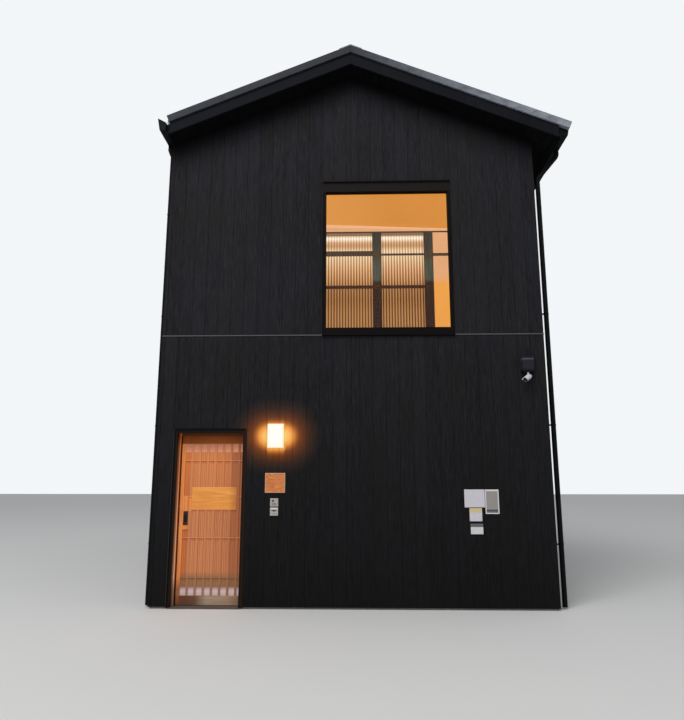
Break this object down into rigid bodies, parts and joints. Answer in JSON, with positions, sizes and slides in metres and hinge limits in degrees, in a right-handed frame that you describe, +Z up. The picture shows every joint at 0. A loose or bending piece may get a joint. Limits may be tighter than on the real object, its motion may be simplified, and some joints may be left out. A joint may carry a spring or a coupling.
{
  "type": "machiya townhouse",
  "caption": "Narrow two-storey timber townhouse: black board front under a low gable, one large upper window over a slatted inner screen, and a sliding lattice door.",
  "frame": {"origin": "on the ground under the middle of the plan, on the foundation's underside", "axes": "+Z up, +X to the right as seen from the street, the street front faces -Y"},
  "size_m": [5.315, 9.82, 7.105],
  "materials": {
    "concrete": "smooth concrete",
    "floor_timber": "oiled boards on joists",
    "ceiling_plaster": "smooth plaster",
    "black_boards": "charred and stained upright boards",
    "side_boards": "stained upright boards",
    "edge_metal": "dark folded sheet",
    "soffit_timber": "dark stained soffit boards",
    "roof_metal": "folded sheet metal with standing seams",
    "barge_metal": "dark sheet over timber",
    "gutter_metal": "dark painted sheet",
    "window_metal": "dark bronze paint",
    "clear_glass": "clear float glass",
    "screen_timber": "dark stained timber",
    "slat_timber": "oiled timber",
    "screen_paper": "translucent paper, lit from behind",
    "warm_plaster": "trowelled plaster",
    "lining_timber": "brown stained timber",
    "sill_stone": "honed stone",
    "door_timber": "oiled timber",
    "lattice_timber": "oiled timber",
    "reed_blind": "fine reeds, lit from behind",
    "frosted_glass": "frosted glass",
    "name_timber": "planed bare board",
    "lock_metal": "brushed steel",
    "lamp_plate": "dark paint",
    "lamp_glass": "opal glass, lit from within",
    "call_plastic": "grey plastic",
    "camera_box_plastic": "dark grey plastic",
    "camera_plastic": "off-white plastic",
    "notice_enamel": "pale enamel plate"
  },
  "bodies": {
    "house": {"foundation": "concrete", "upper_floor": "floor_timber", "upper_ceiling": "ceiling_plaster", "front_wall_lower": "black_boards", "front_wall_upper": "black_boards", "rear_wall_lower": "side_boards", "rear_wall_upper": "side_boards", "left_wall": "side_boards", "right_wall": "side_boards", "storey_flashing": "edge_metal", "roof_deck_left": "soffit_timber", "roof_deck_right": "soffit_timber", "roof_covering_left": "roof_metal", "roof_covering_right": "roof_metal", "verge_trims": "roof_metal", "bargeboards": "barge_metal", "ridge_cap": "roof_metal", "eave_fascias": "barge_metal", "gutter_left": "gutter_metal", "gutter_right": "gutter_metal", "downpipe_left": "gutter_metal", "downpipe_right": "gutter_metal", "window_frame": "window_metal", "window_glass": "clear_glass", "rear_window_frame": "window_metal", "rear_window_glass": "clear_glass", "screen_frame": "screen_timber", "screen_slats": "slat_timber", "screen_backing": "screen_paper", "plaster_panel": "warm_plaster", "ceiling_cornice": "warm_plaster", "door_casing": "window_metal", "door_jambs": "lining_timber", "door_head": "lining_timber", "door_sill": "sill_stone", "lamp_base": "lamp_plate", "lamp_shade": "lamp_glass", "sign_plaque": "name_timber", "intercom": "call_plastic", "camera_box": "camera_box_plastic", "camera_head": "camera_plastic", "notice_plates": "notice_enamel"},
    "entry_door": {"door_leaf_frame": "door_timber", "door_lattice": "lattice_timber", "door_blind": "reed_blind", "door_glass": "frosted_glass", "door_name_board": "name_timber", "door_lock": "lock_metal"}
  },
  "joints": [
    {"name": "entry_door_slide", "type": "slide", "parent": "house", "child": "entry_door", "axis": [1, 0, 0], "range_m": [0, 0.74]}
  ]
}
